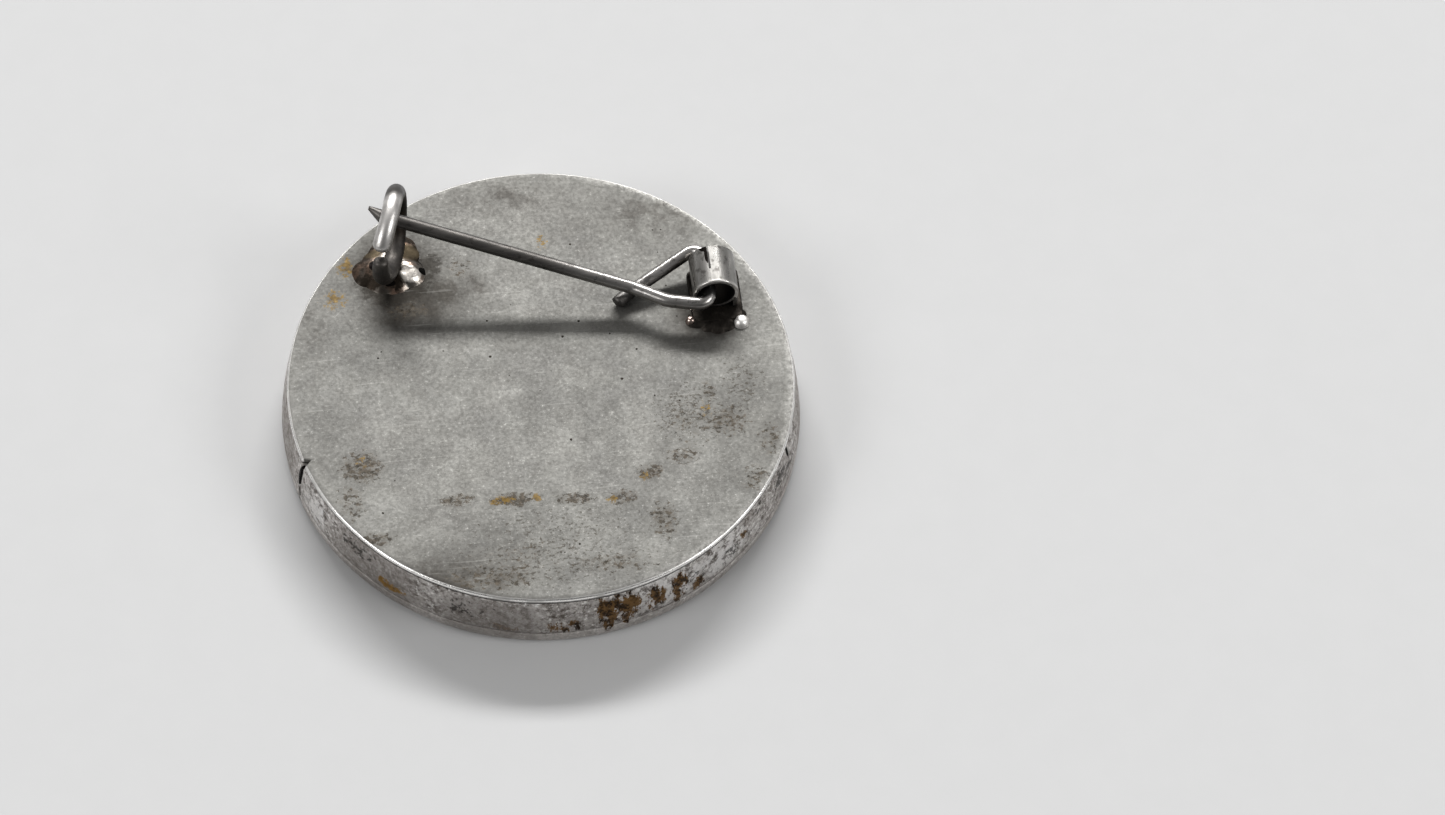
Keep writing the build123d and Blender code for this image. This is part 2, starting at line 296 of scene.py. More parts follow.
    # burnt flux in a ring round the solder of the catch,
    # partly painted contact shade at the foot of the pool
    flux = patches(tree, mm, [
        (-8.6, 8.7, BACK_Z, 3.7, 3.3, 1, 2.4),
        (-6.2, 9.4, BACK_Z, 1.3, 1.5, 1, 1.4),
        (-8.6, 6.9, BACK_Z, 2.8, 1.2, 1, 1.2),
    ], spread(tree, torn, 0.0, 1.0, 0.3, 1.0), 0.25)
    nickel = blend(tree, spread(tree, flux, 0.0, 1.0, 0.0, 0.72), nickel, linear("#2b2824"))
    # painted shade round the catch and the hinge, and darker tarnished clouds over the outer plate
    shade_and_tarnish_halo = zone(tree, mm, [
        (-8.7, 9.4, BACK_Z, 5.4, 5.0, 3, 1.0),
        (-7.6, 6.4, BACK_Z, 6.0, 4.2, 3, 0.85),
        (10.6, 3.6, BACK_Z, 5.0, 4.0, 3, 0.6),
        (4.0, 12.0, BACK_Z, 9.0, 5.0, 3, 0.28),
        (-7.0, -12.8, BACK_Z, 11.0, 5.5, 3, 0.36),
        (12.5, -5.0, BACK_Z, 6.0, 9.0, 3, 0.22),
    ])
    nickel = blend(tree, spread(tree, shade_and_tarnish_halo, 0.0, 0.8, 0.0, 0.62), nickel, linear("#35322e"))
    stain = torn_mask(tree, spoiled, ragged, 0.16)
    nickel = blend(tree, spread(tree, stain, 0.0, 1.0, 0.0, 0.5), nickel, linear("#504b44"))
    speck = torn_mask(tree, spoiled, grit, 0.05)
    brown = blend(tree, grain, linear("#2b2823"), linear("#575047"))
    nickel = blend(tree, spread(tree, speck, 0.0, 1.0, 0.0, 0.84), nickel, brown)
    # a dust of dark specks of about 0.1 mm, thickest towards the lower edge
    dust = torn_mask(tree, zone(tree, mm, [
        (0.0, -12.0, BACK_Z, 19.0, 11.0, 1, 0.60),
        (9.0, -3.0, BACK_Z, 9.0, 7.0, 1, 0.60),
        (12.5, -1.5, BACK_Z, 4.0, 6.0, 1, 0.68),
    ]), cloth(tree, flat, 5.5, 3.0, 0.32, 0.68, 0.7), 0.03)
    nickel = blend(tree, spread(tree, dust, 0.0, 1.0, 0.0, 0.6), nickel, linear("#3b362e"))
    # bare brass where the plating is gone
    brass = patches(tree, mm, [
        (-3.3, -8.6, BACK_Z, 1.9, 0.7, 1, 1.0),
        (-1.2, -8.6, BACK_Z, 1.0, 0.7, 1, 0.95),
        (3.5, -9.2, BACK_Z, 1.0, 0.7, 1, 0.9),
        (5.7, -7.7, BACK_Z, 0.9, 0.7, 1, 0.85),
        (-11.7, 9.7, BACK_Z, 1.3, 1.9, 1, 0.95),
        (-12.5, 7.2, BACK_Z, 2.3, 1.7, 1, 0.85),
        (1.0, 10.4, BACK_Z, 1.0, 2.2, 1, 0.75),
        (-11.6, -5.0, BACK_Z, 1.5, 1.2, 1, 0.7),
        (10.0, -3.2, BACK_Z, 1.0, 1.8, 1, 0.72),
    ], ragged, 0.10)
    bare = blend(tree, grain, linear("#46371d"), linear("#77602f"))
    nickel = blend(tree, spread(tree, brass, 0.0, 1.0, 0.0, 0.8), nickel, bare)
    # hairline scratches, two to six millimetres long
    for turn, share in ((0.9, 0.10), (-0.5, 0.08)):
        line = add(
            tree, "ShaderNodeMapping", None, {"Vector": mm, "Rotation": (0, 0, turn), "Scale": (0.22, 5.0, 1)}
        )
        scratch = add(
            tree, "ShaderNodeTexNoise", None, {"Vector": line.outputs[0], "Scale": 1.0, "Detail": 2.0}
        )
        scratched = spread(tree, scratch.outputs[0], 0.68, 0.74, 0.0, share)
        nickel = blend(tree, scratched, nickel, linear("#c4c3be"))
    # pits of about 0.15 mm
    pit = add(tree, "ShaderNodeTexVoronoi", None, {"Vector": mm, "Scale": 0.8, "Randomness": 1.0})
    pit_size = add(tree, "ShaderNodeMath", {"operation": "MULTIPLY"}, {0: blotch, 1: 0.085})
    pitted = add(
        tree, "ShaderNodeMath", {"operation": "LESS_THAN"},
        {0: pit.outputs["Distance"], 1: pit_size.outputs[0]}
    )
    nickel = blend(tree, pitted.outputs[0], nickel, linear("#2f2c28"))
    # the edge is burnished by handling and lit further by a painted highlight, widest on the right,
    # down to a thin dark line at the joint with the wall
    away = add(tree, "ShaderNodeVectorMath", {"operation": "MULTIPLY"}, {0: mm, 1: (1, 1, 0)}).outputs[0]
    radius = add(tree, "ShaderNodeVectorMath", {"operation": "LENGTH"}, {0: away}).outputs["Value"]
    rubbed = spread(tree, blotch, 0.0, 0.7, 0.55, 1.0)
    side = add(tree, "ShaderNodeSeparateXYZ", None, {0: mm}).outputs["X"]
    side = spread(tree, side, 1.0, 9.0)
    side = add(tree, "ShaderNodeMath", {"operation": "MULTIPLY"}, {0: side, 1: grain}).outputs[0]
    brushed_and_highlight = spread(tree, radius, BACK_R - 0.60, BACK_R - 0.10, 0.0, 0.6)
    brushed_and_highlight = add(tree, "ShaderNodeMath", {"operation": "MULTIPLY"}, {0: brushed_and_highlight, 1: side}).outputs[0]
    nickel = blend(tree, brushed_and_highlight, nickel, linear("#b9b7b3"))
    # painted highlight on the rounded edge, over the burnish
    rim = spread(tree, radius, BACK_R - 0.17, BACK_R - 0.09)
    burnish_and_highlight = add(tree, "ShaderNodeMath", {"operation": "MULTIPLY"}, {0: rim, 1: rubbed}).outputs[0]
    nickel = blend(tree, burnish_and_highlight, nickel, linear("#f3f1ee"))
    height = add(tree, "ShaderNodeSeparateXYZ", None, {0: mm}).outputs["Z"]
    joint = spread(tree, height, BACK_Z - 0.30, BACK_Z - 0.16, 0.8, 0.0)
    nickel = blend(tree, joint, nickel, linear("#3c3935"))
    tree.links.new(nickel, shader.inputs["Base Color"])
    shader.inputs["Metallic"].default_value = 1.0
    satin = spread(tree, grain, 0.0, 1.0, 0.71, 0.60)
    polish = add(tree, "ShaderNodeMath", {"operation": "MULTIPLY_ADD"}, {0: burnish_and_highlight, 1: -0.42, 2: satin})
    tree.links.new(polish.outputs[0], shader.inputs["Roughness"])
    tooth = add(tree, "ShaderNodeMath", {"operation": "MULTIPLY"}, {0: grain, 1: 0.4}).outputs[0]
    relief = add(
        tree, "ShaderNodeMath", {"operation": "MULTIPLY_ADD"}, {0: pitted.outputs[0], 1: -1.0, 2: tooth}
    )
    relief = add(
        tree, "ShaderNodeMath", {"operation": "MULTIPLY_ADD"}, {0: speck, 1: -0.7, 2: relief.outputs[0]}
    )
    bump = add(
        tree, "ShaderNodeBump", None, {"Strength": 0.17, "Distance": 0.03 * MM, "Height": relief.outputs[0]}
    )
    tree.links.new(bump.outputs[0], shader.inputs["Normal"])
    return material


def nickel_wall():
    """Nickel plate on the rolled wall, handled for years: mottled dark, with brown brass patches and a
    lighter front edge, partly painted light that lifts the shade at the bottom of the wall."""
    material, tree, shader, mm = new_material("nickel_plated_wall")
    mottle = cloth(tree, mm, 0.5, 5.0)
    fleck = cloth(tree, mm, 1.5, 8.0, 0.36, 0.64, 0.8)
    grain = cloth(tree, mm, 4.2, 4.0, 0.3, 0.7)
    nickel = blend(tree, mottle, linear("#a8a29d"), linear("#d2cecb"))
    # silvery where the front right has been rubbed
    rubbed = patches(tree, mm, [
        (6.5, -15.0, 3.2, 5.5, 4.0, 3.0, 1.1),
        (10.2, -12.8, 3.0, 3.8, 3.8, 3.0, 1.1),
        (-14.6, -6.8, 2.6, 1.6, 2.4, 3.0, 1.1),
    ], spread(tree, fleck, 0.0, 1.0, 0.45, 1.0), 0.3)
    nickel = blend(tree, spread(tree, fleck, 0.05, 0.65, 0.82, 0.0), nickel, linear("#4c433b"))
    nickel = blend(tree, spread(tree, grain, 0.05, 0.55, 0.6, 0.0), nickel, linear("#544c45"))
    nickel = blend(tree, spread(tree, grain, 0.60, 0.95, 0.0, 0.9), nickel, linear("#efedea"))
    island = spread(tree, fleck, 0.30, 0.55)
    island = add(tree, "ShaderNodeMath", {"operation": "MULTIPLY"}, {0: island, 1: rubbed}).outputs[0]
    nickel = blend(tree, spread(tree, island, 0.0, 1.0, 0.0, 0.62), nickel, linear("#eae8e6"))
    height = add(tree, "ShaderNodeSeparateXYZ", None, {0: mm}).outputs["Z"]
    # painted light: the band along the front edge lightened against the shade at the bottom of the wall
    front = spread(tree, height, BEAD_Z - 0.1, BEAD_Z + 0.25, 0.5, 0.0)
    nickel = blend(tree, front, nickel, linear("#c6c1bd"))
    upright = add(
        tree, "ShaderNodeVectorMath", {"operation": "MULTIPLY"}, {0: mm, 1: (1.0, 1.0, 0.45)}
    ).outputs[0]
    finger = cloth(tree, upright, 1.7, 8.0, 0.34, 0.62, 0.75)
    brown = patches(tree, mm, [
        (3.0, -16.1, 2.7, 2.2, 2.2, 3.6, 1.35),
        (4.1, -15.8, 2.8, 1.2, 2.2, 2.6, 1.2),
        (5.6, -15.4, 2.5, 1.4, 2.2, 2.4, 1.25),
        (7.1, -14.7, 2.7, 1.1, 2.2, 2.8, 1.35),
        (8.3, -14.1, 1.9, 0.9, 1.6, 1.3, 1.2),
        (-0.3, -16.3, 1.8, 3.2, 1.5, 1.5, 0.8),
        (-4.0, -15.9, 1.6, 2.8, 1.5, 1.0, 0.75),
        (11.5, -11.6, 2.8, 1.0, 1.0, 1.0, 0.85),
        (14.5, 8.0, 2.4, 2.0, 2.0, 1.2, 0.95),
        (-3.0, 16.2, 2.2, 3.0, 1.5, 1.1, 0.95),
        (-15.0, 6.5, 2.0, 1.5, 2.5, 1.0, 0.92),
    ], finger)
    bare = blend(tree, spread(tree, fleck, 0.3, 0.7), linear("#2e231a"), linear("#775a36"))
    nickel = blend(tree, brown, nickel, bare)
    dull = patches(tree, mm, [
        (-11.5, -11.5, 2.4, 5.6, 5.6, 5.0, 1.4),
        (-5.0, -15.6, 2.0, 7.0, 4.0, 4.0, 1.1),
        (-16.4, -1.0, 2.4, 2.6, 4.6, 4.0, 1.7),
        (16.4, -1.6, 2.4, 2.4, 5.4, 4.0, 1.5),
        (14.6, -7.4, 2.2, 3.4, 4.6, 4.0, 0.7),
    ], spread(tree, mottle, 0.0, 1.0, 0.5, 1.0), 0.3)
    nickel = blend(tree, spread(tree, dull, 0.0, 1.0, 0.0, 0.62), nickel, linear("#8a847f"))
    gold = patches(tree, mm, [(-10.6, -12.4, 1.9, 2.2, 2.2, 0.9, 1.3)], fleck)
    nickel = blend(tree, gold, nickel, blend(tree, grain, linear("#6b4f22"), linear("#9c7838")))
    # dark marks near the top of the right side
    grit = cloth(tree, mm, 2.4, 5.0, 0.34, 0.66, 0.7)
    marks = patches(tree, mm, [
        (12.7, -10.3, 3.6, 1.4, 1.4, 0.9, 1.0),
        (14.4, -7.6, 3.2, 1.8, 2.8, 1.6, 1.15),
        (10.6, -12.4, 2.4, 2.2, 2.2, 1.6, 0.8),
        (14.8, -6.0, 2.4, 2.0, 4.0, 2.0, 0.85),
        (8.0, -14.2, 2.6, 5.0, 2.0, 2.4, 0.72),
        (-12.3, -10.3, 3.2, 3.6, 3.6, 1.4, 0.9),
        (-6.0, -15.0, 2.8, 6.0, 2.0, 2.0, 0.8),
    ], grit)
    nickel = blend(tree, spread(tree, marks, 0.0, 1.0, 0.0, 0.8), nickel, linear("#2a2622"))
    # grime packed in the open seam
    seam = math.radians(SEAM_ANGLE)
    crack = math.radians(CRACK_ANGLE)
    grime = patches(tree, mm, [
        (math.cos(seam) * 15.9, math.sin(seam) * 15.9, 2.95, 1.2, 0.34, 1.45, 4.0),
        (math.cos(crack) * 16.1, math.sin(crack) * 16.1, 3.7, 0.34, 0.22, 0.75, 3.0),
    ], spread(tree, fleck, 0.0, 1.0, 0.6, 1.0))
    nickel = blend(tree, grime, nickel, linear("#120f0d"))
    # dirt lodged along the fine line
    line = add(tree, "ShaderNodeMath", {"operation": "COMPARE"}, {0: height, 1: BEAD_Z, 2: 0.06})
    dirt = add(tree, "ShaderNodeMath", {"operation": "MULTIPLY"}, {0: line.outputs[0], 1: 0.35})
    nickel = blend(tree, dirt.outputs[0], nickel, linear("#2f2b27"))
    tree.links.new(nickel, shader.inputs["Base Color"])
    shader.inputs["Metallic"].default_value = 1.0
    tree.links.new(spread(tree, fleck, 0.0, 1.0, 0.66, 0.40), shader.inputs["Roughness"])
    relief = add(tree, "ShaderNodeMath", {"operation": "MULTIPLY_ADD"}, {0: brown, 1: -0.8, 2: fleck})
    bump = add(
        tree, "ShaderNodeBump", None, {"Strength": 0.6, "Distance": 0.06 * MM, "Height": relief.outputs[0]}
    )
    tree.links.new(bump.outputs[0], shader.inputs["Normal"])
    return material


def mottled_metal(name, dark, light, gloss, relief_mm):
    """Metal whose colour, gloss (two roughness values) and relief follow one noise."""
    material, tree, shader, mm = new_material(name)
    streak = cloth(tree, mm, 1.6, 5.0, 0.3, 0.7)
    tree.links.new(blend(tree, streak, linear(dark), linear(light)), shader.inputs["Base Color"])
    shader.inputs["Metallic"].default_value = 1.0
    tree.links.new(spread(tree, streak, 0.0, 1.0, gloss[1], gloss[0]), shader.inputs["Roughness"])
    bump = add(
        tree, "ShaderNodeBump", None,
        {"Strength": 0.4, "Distance": relief_mm * MM, "Height": streak},
    )
    tree.links.new(bump.outputs[0], shader.inputs["Normal"])
    return material


def steel_wire():
    """Drawn spring steel: dark and dull along the stem, rubbed bright where it turns round the hinge."""
    material, tree, shader, mm = new_material("drawn_steel_wire")
    # drawing lines run along the stem
    along = add(
        tree, "ShaderNodeVectorMath", {"operation": "MULTIPLY"}, {0: mm, 1: (0.12, 1.0, 1.0)}
    ).outputs[0]
    line = cloth(tree, along, 3.5, 3.0, 0.3, 0.7)
    fleck = cloth(tree, mm, 2.2, 4.0, 0.35, 0.65)
    place = add(tree, "ShaderNodeSeparateXYZ", None, {0: mm}).outputs["X"]
    bright = spread(tree, place, 0.5, 5.5)
    stem = blend(tree, line, linear("#4a4846"), linear("#605d5a"))
    bend = blend(tree, line, linear("#8a8784"), linear("#aba8a5"))
    steel = blend(tree, bright, stem, bend)
    steel = blend(tree, spread(tree, fleck, 0.0, 0.3, 0.5, 0.0), steel, linear("#33302d"))
    # darker and duller where the wire runs low, close to the plate
    low = add(tree, "ShaderNodeSeparateXYZ", None, {0: mm}).outputs["Z"]
    darker_low = spread(tree, low, BACK_Z + 0.7, BACK_Z + 1.4, 0.8, 0.0)
    steel = blend(tree, darker_low, steel, linear("#25221f"))
    tree.links.new(steel, shader.inputs["Base Color"])
    shader.inputs["Metallic"].default_value = 1.0
    dull = add(tree, "ShaderNodeMath", {"operation": "MULTIPLY_ADD"}, {0: bright, 1: -0.17, 2: 0.45})
    dull = add(tree, "ShaderNodeMath", {"operation": "MULTIPLY_ADD"}, {0: darker_low, 1: 0.35, 2: dull.outputs[0]})
    tree.links.new(dull.outputs[0], shader.inputs["Roughness"])
    bump = add(tree, "ShaderNodeBump", None, {"Strength": 0.3, "Distance": 0.008 * MM, "Height": line})
    tree.links.new(bump.outputs[0], shader.inputs["Normal"])
    return material


def soft_solder():
    """Tin and lead solder run over brass: a bright lobe, clean tin lightened further as a painted highlight,
    a little pink where copper shows, brown flux behind, and pits."""
    material, tree, shader, mm = new_material("bright_soft_solder")
    run = cloth(tree, mm, 0.8, 4.0, 0.36, 0.64)
    tint = cloth(tree, mm, 0.55, 2.0, 0.45, 0.62)
    tin = blend(tree, tint, linear("#78736d"), linear("#8c7262"))
    metal = blend(tree, spread(tree, run, 0.25, 0.75), linear("#25201b"), tin)
    # painted highlight: the near lobe lightened where the light catches it
    bright = patches(tree, mm, [
        (-7.6, 8.5, BACK_Z + 0.4, 1.2, 0.9, 1.0, 1.3),
    ], spread(tree, run, 0.0, 1.0, 0.6, 1.0), 0.15)
    metal = blend(tree, bright, metal, linear("#dcd6ce"))
    flux = patches(tree, mm, [
        (-7.6, 10.2, BACK_Z, 1.7, 1.3, 1.5, 1.3),
        (-9.8, 10.3, BACK_Z, 1.4, 0.9, 1.5, 1.0),
    ], spread(tree, run, 0.0, 1.0, 0.6, 1.0), 0.2)
    metal = blend(tree, flux, metal, blend(tree, tint, linear("#383127"), linear("#5c5242")))
    burnt = patches(tree, mm, [
        (-10.6, 9.1, BACK_Z, 1.7, 1.8, 1.5, 1.6),
        (-9.3, 7.9, BACK_Z, 1.3, 0.9, 1.5, 1.2),
    ], spread(tree, run, 0.0, 1.0, 0.6, 1.0), 0.2)
    metal = blend(tree, spread(tree, burnt, 0.0, 1.0, 0.0, 0.8), metal, linear("#2a2520"))
    pits = patches(tree, mm, [
        (-6.75, 9.75, BACK_Z, 0.42, 0.5, 0.8, 2.0),
        (-6.75, 8.85, BACK_Z, 0.5, 0.4, 0.8, 2.0),
        (-8.9, 7.95, BACK_Z + 0.3, 0.6, 0.35, 0.5, 1.6),
        (-9.9, 9.3, BACK_Z + 0.5, 0.4, 0.6, 0.6, 1.4),
    ], spread(tree, run, 0.0, 1.0, 0.7, 1.0))
    metal = blend(tree, pits, metal, linear("#0e0c0b"))
    tree.links.new(metal, shader.inputs["Base Color"])
    shader.inputs["Metallic"].default_value = 1.0
    gloss = spread(tree, run, 0.3, 0.8, 0.46, 0.28)
    dull = add(tree, "ShaderNodeMath", {"operation": "MULTIPLY_ADD"}, {0: flux, 1: 0.25, 2: gloss})
    dull = add(tree, "ShaderNodeMath", {"operation": "MULTIPLY_ADD"}, {0: burnt, 1: 0.2, 2: dull.outputs[0]})
    tree.links.new(dull.outputs[0], shader.inputs["Roughness"])
    bump = add(tree, "ShaderNodeBump", None, {"Strength": 0.35, "Distance": 0.06 * MM, "Height": run})
    tree.links.new(bump.outputs[0], shader.inputs["Normal"])
    return material


def catch_wire():
    """Nickel plated brass wire: its upper half lighter, partly polish and partly a painted highlight; its
    lower half brown with flux and grime and darkened as painted shade; its far side painted dark as shade."""
    material, tree, shader, mm = new_material("plated_catch_wire")
    worn = cloth(tree, mm, 1.4, 5.0, 0.3, 0.7)
    low, high = (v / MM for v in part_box("catch_ring"))
    middle = (low.z + high.z) / 2
    # light metal for the upper part, raised as a painted highlight
    metal = blend(tree, worn, linear("#a19e9b"), linear("#dad7d4"))
    depth = add(tree, "ShaderNodeSeparateXYZ", None, {0: mm}).outputs["Y"]
    # painted shade: the far side of the C darkened
    behind = spread(tree, depth, (low.y + high.y) / 2 + 0.4, (low.y + high.y) / 2 + 1.4, 0.0, 0.92)
    metal = blend(tree, behind, metal, linear("#24201d"))
    # lower part brown with flux and grime, and darker still as painted shade
    height = add(tree, "ShaderNodeSeparateXYZ", None, {0: mm}).outputs["Z"]
    darker_low = spread(tree, height, middle + 0.8, middle + 1.5, 0.88, 0.0)
    metal = blend(tree, darker_low, metal, blend(tree, worn, linear("#181512"), linear("#3a332c")))
    tree.links.new(metal, shader.inputs["Base Color"])
    shader.inputs["Metallic"].default_value = 1.0
    gloss = spread(tree, worn, 0.0, 1.0, 0.46, 0.32)
    dull = add(tree, "ShaderNodeMath", {"operation": "MULTIPLY_ADD"}, {0: darker_low, 1: 0.15, 2: gloss})
    tree.links.new(dull.outputs[0], shader.inputs["Roughness"])
    bump = add(tree, "ShaderNodeBump", None, {"Strength": 0.4, "Distance": 0.02 * MM, "Height": worn})
    tree.links.new(bump.outputs[0], shader.inputs["Normal"])
    return material


def hinge_sheet():
    """Nickel plated brass sheet rolled to a tube: rubbed in long streaks, a painted highlight at the lip, and
    the inside of the tube painted near black as shade."""
    material, tree, shader, mm = new_material("plated_hinge_sheet")
    low, high = (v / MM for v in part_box("hinge_tube"))
    along = add(
        tree, "ShaderNodeVectorMath", {"operation": "MULTIPLY"}, {0: mm, 1: (1.3, 0.25, 1.3)}
    ).outputs[0]
    streak = cloth(tree, along, 1.5, 5.0, 0.3, 0.7)
    fleck = cloth(tree, mm, 2.0, 5.0)
    metal = blend(tree, streak, linear("#6e6c69"), linear("#a5a39f"))
    metal = blend(tree, spread(tree, fleck, 0.0, 0.4, 0.6, 0.0), metal, linear("#3d3935"))
    # the split where the end of the rolled sheet meets it again
    split = patches(tree, mm, [
        (low.x + 1.05, high.y - 0.6, high.z, 0.24, 0.95, 0.8, 2.2),
        (low.x + 0.85, high.y - 0.1, high.z, 0.34, 0.35, 0.8, 2.0),
    ], spread(tree, fleck, 0.0, 1.0, 0.5, 1.0))
    metal = blend(tree, split, metal, linear("#1b1816"))
    # painted highlight along the near rolled edge of the tube
    place = add(tree, "ShaderNodeSeparateXYZ", None, {0: mm}).outputs["Y"]
    lip = spread(tree, place, low.y + 0.05, low.y + 0.25, 0.7, 0.0)
    metal = blend(tree, lip, metal, linear("#cfccc8"))
    # painted shade: the inside of the tube near black, and duller
    axis = ((low.x + high.x) / 2, 0, high.z - TUBE_R)
    off = add(tree, "ShaderNodeVectorMath", {"operation": "SUBTRACT"}, {0: mm, 1: axis}).outputs[0]
    off = add(tree, "ShaderNodeVectorMath", {"operation": "MULTIPLY"}, {0: off, 1: (1, 0, 1)}).outputs[0]
    inside = add(tree, "ShaderNodeVectorMath", {"operation": "LENGTH"}, {0: off}).outputs["Value"]
    painted_bore_shade = spread(tree, inside, TUBE_R - 0.28, TUBE_R - 0.18, 1.0, 0.0)
    metal = blend(tree, painted_bore_shade, metal, linear("#141210"))
    tree.links.new(metal, shader.inputs["Base Color"])
    shader.inputs["Metallic"].default_value = 1.0
    gloss = spread(tree, streak, 0.0, 1.0, 0.42, 0.24)
    dull = add(tree, "ShaderNodeMath", {"operation": "MULTIPLY_ADD"}, {0: painted_bore_shade, 1: 0.4, 2: gloss})
    tree.links.new(dull.outputs[0], shader.inputs["Roughness"])
    bump = add(tree, "ShaderNodeBump", None, {"Strength": 0.4, "Distance": 0.02 * MM, "Height": streak})
    tree.links.new(bump.outputs[0], shader.inputs["Normal"])
    return material


def paper(name, dark, light, scale, fibre_mm):
    """Paper or board: matt, with fibres that shade it and a soft felted surface."""
    material, tree, shader, mm = new_material(name)
    fibre = add(
        tree, "ShaderNodeTexNoise", None,
        {"Vector": mm, "Scale": scale, "Detail": 6.0, "Roughness": 0.7},
    )
    colour = add(
        tree, "ShaderNodeMix", {"data_type": "RGBA"},
        {0: fibre.outputs[0], 6: linear(dark), 7: linear(light)},
    )
    tree.links.new(colour.outputs[2], shader.inputs["Base Color"])
    shader.inputs["Roughness"].default_value = 0.9
    bump = add(
        tree, "ShaderNodeBump", None,
        {"Strength": 0.5, "Distance": fibre_mm * MM, "Height": fibre.outputs[0]},
    )
    tree.links.new(bump.outputs[0], shader.inputs["Normal"])
    return material


def printed_paper():
    """Printed paper: an eight-petal rosette and a thin ring in one green ink on cream stock, aged at
    the edge."""
    material, tree, shader, mm = new_material("printed_paper")
    flat = add(tree, "ShaderNodeSeparateXYZ", None, {0: mm})
    away = add(tree, "ShaderNodeVectorMath", {"operation": "MULTIPLY"}, {0: mm, 1: (1, 1, 0)}).outputs[0]
    radius = add(tree, "ShaderNodeVectorMath", {"operation": "LENGTH"}, {0: away}).outputs["Value"]
    fibre = cloth(tree, mm, 3.0, 5.0)
    angle = add(
        tree, "ShaderNodeMath", {"operation": "ARCTAN2"}, {0: flat.outputs["Y"], 1: flat.outputs["X"]}
    ).outputs[0]
    turn = add(tree, "ShaderNodeMath", {"operation": "MULTIPLY"}, {0: angle, 1: 8.0}).outputs[0]
    wave = add(tree, "ShaderNodeMath", {"operation": "COSINE"}, {0: turn}).outputs[0]
    petal = add(tree, "ShaderNodeMath", {"operation": "MULTIPLY_ADD"}, {0: wave, 1: 1.6, 2: 5.6}).outputs[0]
    rosette = add(tree, "ShaderNodeMath", {"operation": "LESS_THAN"}, {0: radius, 1: petal}).outputs[0]
    centre = add(tree, "ShaderNodeMath", {"operation": "LESS_THAN"}, {0: radius, 1: 1.5}).outputs[0]
    ring = add(tree, "ShaderNodeMath", {"operation": "COMPARE"}, {0: radius, 1: 11.6, 2: 0.35}).outputs[0]
    stock = blend(tree, fibre, linear("#d3c6a2"), linear("#eee5c9"))
    aged = blend(tree, spread(tree, radius, 10.0, 14.6, 0.0, 0.6), stock, linear("#b39b6c"))
    ink = blend(tree, fibre, linear("#2c4a3c"), linear("#38594a"))
    colour = blend(tree, ring, aged, ink)
    colour = blend(tree, rosette, colour, ink)
    colour = blend(tree, centre, colour, stock)
    tree.links.new(colour, shader.inputs["Base Color"])
    shader.inputs["Roughness"].default_value = 0.7
    return material


def celluloid():
    """Celluloid cover: clear, slightly yellowed with age, glossy, with fine scratches."""
    material, tree, shader, mm = new_material("clear_celluloid")
    shader.inputs["Base Color"].default_value = linear("#f4efdc")
    shader.inputs["Transmission Weight"].default_value = 1.0
    shader.inputs["IOR"].default_value = 1.5
    scuff = add(
        tree, "ShaderNodeTexNoise", None, {"Vector": mm, "Scale": 1.5, "Detail": 6.0, "Roughness": 0.8}
    )
    rough = add(tree, "ShaderNodeMapRange", None, {0: scuff.outputs[0], 1: 0.5, 2: 0.75, 3: 0.04, 4: 0.22})
    tree.links.new(rough.outputs[0], shader.inputs["Roughness"])
    return material


# ---- mesh helpers -----------------------------------------------------------


def mesh_piece(name, points, faces, material, body):
    """Object from points in millimetres and faces, riding on a body."""
    mesh = bpy.data.meshes.new(name)
    mesh.from_pydata([(x * MM, y * MM, z * MM) for x, y, z in points], [], faces)
    mesh.validate()
    mesh.materials.append(material)
    mesh.shade_smooth()
    piece = bpy.data.objects.new(name, mesh)
    bpy.context.scene.collection.objects.link(piece)
    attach(piece, body)
    return piece


def strips(rows, columns):
    """Quads between neighbouring rows of points, each row being a closed ring of columns points."""
    faces = []
    for i in range(rows - 1):
        for j in range(columns):
            a = i * columns + j
            b = i * columns + (j + 1) % columns
            c = (i + 1) * columns + (j + 1) % columns
            d = (i + 1) * columns + j
            faces.append((a, b, c, d))
    return faces


def wobble(x, y, z, size, seed):
    """Smooth noise between about -1 and 1 whose lumps are size millimetres apart."""
    return noise.noise(Vector((x / size + seed, y / size - seed, z / size + 0.37 * seed)))


# ---- pieces -----------------------------------------------------------------


